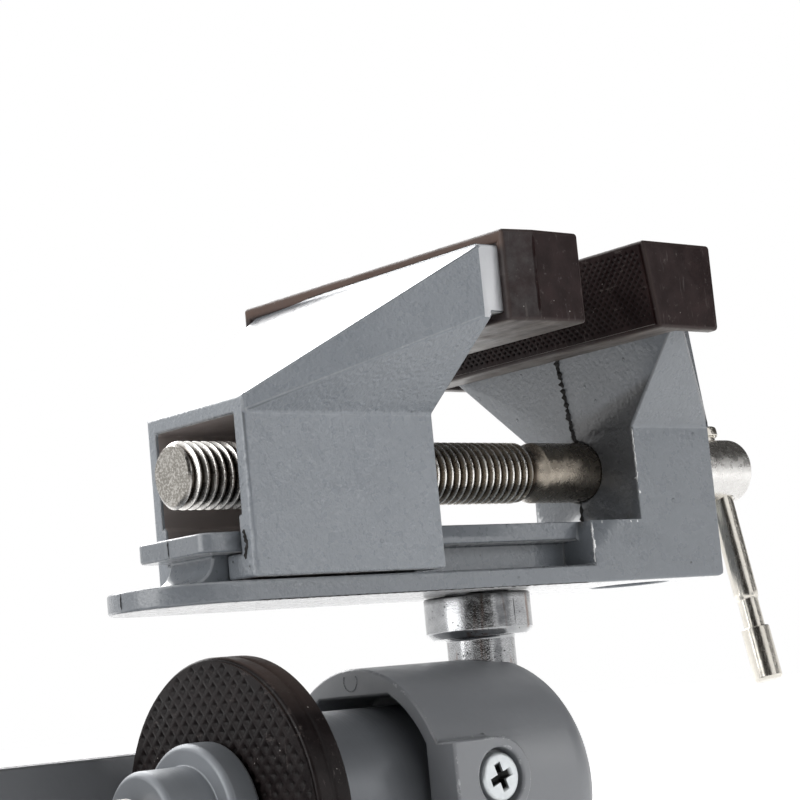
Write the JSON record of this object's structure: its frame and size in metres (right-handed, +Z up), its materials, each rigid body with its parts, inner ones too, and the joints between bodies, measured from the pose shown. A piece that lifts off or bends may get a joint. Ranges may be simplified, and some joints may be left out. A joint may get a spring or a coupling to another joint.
{
  "type": "clamp-on bench vise",
  "caption": "Clamp-on bench vise: rubber-capped jaws on a T-rail, lead screw with sliding bar, and a ball-jointed C-clamp with rubber disc and swivel pad.",
  "frame": {"origin": "centre of the rubber disc's clamping face, on the clamp screw's axis", "axes": "+X along the clamp screw and the lead screw towards the lead screw's handle, +Y towards the spine of the C-frame, +Z up"},
  "size_m": [0.2636, 0.0813, 0.1441],
  "materials": {
    "casting": "blue-grey paint with a fine orange peel over die-cast alloy, edges worn light",
    "housing_paint": "smooth grey paint over die-cast alloy",
    "plunger_metal": "smooth grey paint, slightly satin",
    "stud_metal": "bright die-cast alloy with a mottled gloss",
    "nickel_steel": "nickel-plated steel thread",
    "bar_chrome": "bright chrome-plated steel",
    "zinc_fastener": "zinc-plated steel",
    "rubber": "brownish-black moulded rubber, matt"
  },
  "bodies": {
    "frame": {"clamp_frame": "housing_paint", "guide_screw": "zinc_fastener"},
    "plunger": {"plunger": "plunger_metal", "disc_rubber": "rubber"},
    "stud": {"ball_stud": "stud_metal", "pivot_screw": "zinc_fastener", "pivot_washer": "zinc_fastener"},
    "head": {"base_body": "casting", "fixed_jaw_pad": "rubber", "retaining_pin": "zinc_fastener", "thrust_washer": "zinc_fastener"},
    "jaw": {"movable_jaw": "casting", "jaw_nut": "nickel_steel", "movable_jaw_pad": "rubber"},
    "lead_screw": {"lead_screw": "nickel_steel"},
    "lead_bar": {"lead_bar": "bar_chrome", "lead_bar_cap": "bar_chrome"},
    "pad": {"clamp_pad": "plunger_metal", "pad_ring": "zinc_fastener"},
    "clamp_screw": {"clamp_screw": "nickel_steel"},
    "clamp_bar": {"clamp_bar": "bar_chrome", "clamp_bar_cap": "bar_chrome"}
  },
  "joints": [
    {"name": "plunger_press", "type": "slide", "parent": "frame", "child": "plunger", "axis": [1, 0, 0], "range_m": [0, 0.001]},
    {"name": "head_tilt", "type": "hinge", "parent": "frame", "child": "stud", "pos_m": [0.0639, 0, 0], "axis": [0, 1, 0], "range_deg": [0, 90]},
    {"name": "head_swivel", "type": "hinge", "parent": "stud", "child": "head", "pos_m": [0.0639, 0, 0], "axis": [0, 0, 1], "continuous": true},
    {"name": "jaw_slide", "type": "slide", "parent": "head", "child": "jaw", "axis": [-1, 0, 0], "range_m": [-0.016, 0.036]},
    {"name": "lead_screw_turn", "type": "hinge", "parent": "head", "child": "lead_screw", "pos_m": [0.0639, 0, 0.0596], "axis": [1, 0, 0], "continuous": true},
    {"name": "lead_bar_slide", "type": "slide", "parent": "lead_screw", "child": "lead_bar", "axis": [0, 0.1932, 0.9812], "range_m": [0, 0.027]},
    {"name": "pad_slide", "type": "slide", "parent": "frame", "child": "pad", "axis": [-1, 0, 0], "range_m": [0, 0.062]},
    {"name": "clamp_screw_turn", "type": "hinge", "parent": "pad", "child": "clamp_screw", "pos_m": [-0.05, 0, 0], "axis": [-1, 0, 0], "continuous": true},
    {"name": "clamp_bar_slide", "type": "slide", "parent": "clamp_screw", "child": "clamp_bar", "axis": [0, 0.2588, 0.9659], "range_m": [0, 0.027]}
  ],
  "couplings": [
    {"joint": "lead_screw_turn", "follows": "jaw_slide", "rad_per_m": 3590.4},
    {"joint": "clamp_screw_turn", "follows": "pad_slide", "rad_per_m": 3590.4}
  ]
}
